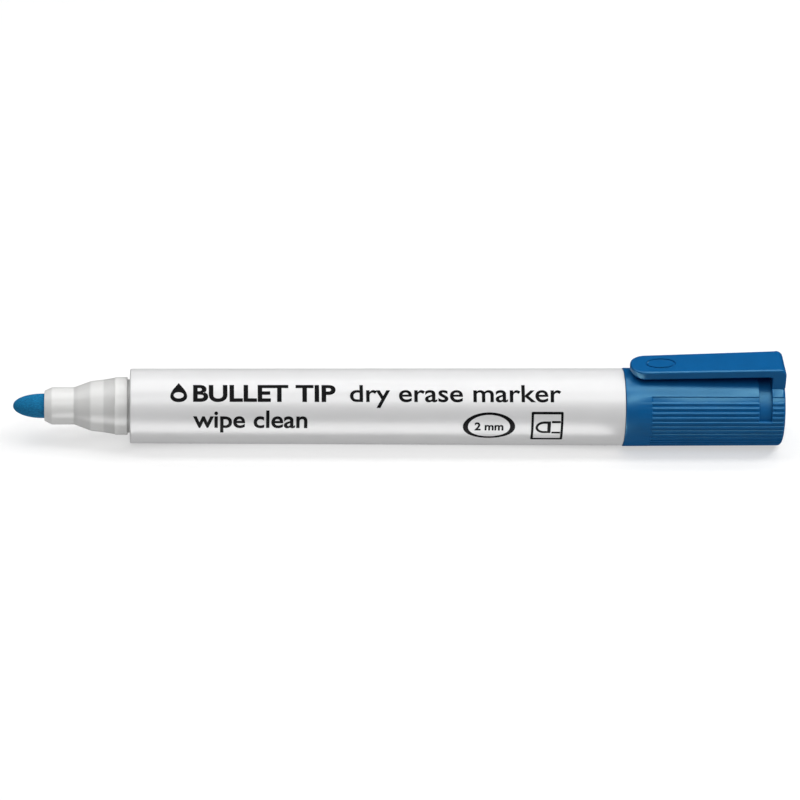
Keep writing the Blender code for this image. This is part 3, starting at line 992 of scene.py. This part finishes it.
def make_camera():
    """A long lens. Its horizontal follows the pen's axis, apart from a small roll."""
    data = bpy.data.cameras.new("camera")
    camera = bpy.data.objects.new("camera", data)
    bpy.context.scene.collection.objects.link(camera)
    target = Vector((0, 0, AXIS_Z))
    flat = math.cos(CAMERA_ELEVATION)
    side, forward = math.sin(CAMERA_AZIMUTH), math.cos(CAMERA_AZIMUTH)
    back = Vector((side * flat, -forward * flat, math.sin(CAMERA_ELEVATION)))
    right = Vector((1, 0, 0)) - back * back.x
    right.normalize()
    up = back.cross(right)
    facing = Matrix((right, up, back)).transposed().to_4x4() @ Matrix.Rotation(CAMERA_ROLL, 4, "Z")
    camera.matrix_world = Matrix.Translation(target + back * CAMERA_DISTANCE) @ facing
    data.sensor_width = SENSOR_WIDTH
    data.lens = SENSOR_WIDTH * CAMERA_DISTANCE / FRAME_WIDTH
    data.shift_x, data.shift_y = CAMERA_SHIFT
    data.clip_start = 0.01
    bpy.context.scene.camera = camera


def area_light(name, size, power):
    """A rectangular light of (length along X, width)."""
    data = bpy.data.lights.new(name, "AREA")
    data.shape = "RECTANGLE"
    data.size, data.size_y = size
    data.energy = power
    light = bpy.data.objects.new(name, data)
    bpy.context.scene.collection.objects.link(light)
    return light


def softbox(name, elevation, width, power, side=0.0):
    """A long light that faces the pen. Elevation 0 is in front, on the camera's side, and 90 overhead."""
    light = area_light(name, (SOFTBOX_LENGTH, width), power)
    angle = math.radians(elevation)
    place = Vector((side, -SOFTBOX_DISTANCE * math.cos(angle), SOFTBOX_DISTANCE * math.sin(angle)))
    light.location = place
    light.rotation_euler = (-place).to_track_quat("-Z", "Y").to_euler()


def table_light(name, low, high, radiance):
    """A light that lies just over the floor and faces up, between two corners (x, y)."""
    size = (high[0] - low[0], high[1] - low[1])
    light = area_light(name, size, radiance * math.pi * size[0] * size[1])
    light.location = ((low[0] + high[0]) / 2, (low[1] + high[1]) / 2, 0.5 * MM)
    light.rotation_euler = (math.pi, 0, 0)
    light.visible_camera = False
    return light


def make_floor():
    """A pale floor for the camera. It takes the pen's shadow, and it sends no light back to the pen."""
    bm = bmesh.new()
    bmesh.ops.create_grid(bm, x_segments=8, y_segments=8, size=FLOOR_HALF_SIZE)
    floor = object_of("floor", bm)
    floor.location.z = -FLOOR_DROP
    floor.data.materials.append(floor_material())
    floor.visible_glossy = False
    floor.visible_diffuse = False


def make_lights():
    """Three softboxes, and two table lights in place of the light that a floor would send back: a weak
    bounce all round the pen, and a sheen in front of the nose and barrel that stops short of the cap."""
    softbox("front_box", 69, 0.22, 5.5, side=0.3)
    softbox("top_box", 88, 0.20, 3.9)
    softbox("back_box", 112, 0.17, 3.2)
    bounce = table_light("table_bounce", (-0.3, -0.3), (0.3, 0.3), 0.80)
    bounce.visible_glossy = False
    sheen_end = cap_low.x - 1.5 * MM
    sheen = table_light("table_sheen", (section_low.x, -31 * MM), (sheen_end, -11 * MM), 4.7)
    sheen.visible_diffuse = False


def make_backdrop():
    """A pale world behind the floor, which lights nothing."""
    world = bpy.data.worlds.new("studio")
    world.use_nodes = True
    background = world.node_tree.nodes["Background"]
    background.inputs["Color"].default_value = (1, 1, 1, 1)
    background.inputs["Strength"].default_value = 0.6
    world.cycles_visibility.diffuse = False
    world.cycles_visibility.glossy = False
    bpy.context.scene.world = world


def main():
    """Each piece rides on its body and stands for its CAD node. The two inner nodes get a material."""
    blue = blue_material("cap_plastic", 0.29, 0.35)
    liner_blue = blue_material("liner_plastic", 0.35, 0.45)
    dress(make_barrel(), "pen", barrel_material(), "barrel", slot="barrel_white")
    dress(make_front_section(), "pen", section_material(), "front_section", slot="section_natural")
    dress(make_nib(), "pen", nib_material(), "nib", slot="nib_felt")
    dress(make_plug(), "pen", blue, "end_plug", slot="cap_blue")
    dress(make_liner(), "cap_liner", liner_blue, "inner_cap", slot="liner_blue")
    dress(make_cap_shell(), "cap", blue, "cap_shell", slot="cap_blue")
    dress(make_clip(), "clip_arm", blue, "clip", slot="cap_blue")
    make_prints()
    for node, made in (("ink_reservoir", fibre_material()), ("reservoir_film", film_material())):
        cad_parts[node].data.materials.clear()
        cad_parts[node].data.materials.append(made)
    make_camera()
    make_floor()
    make_lights()
    make_backdrop()
    bpy.context.scene.view_settings.view_transform = "Standard"


main()
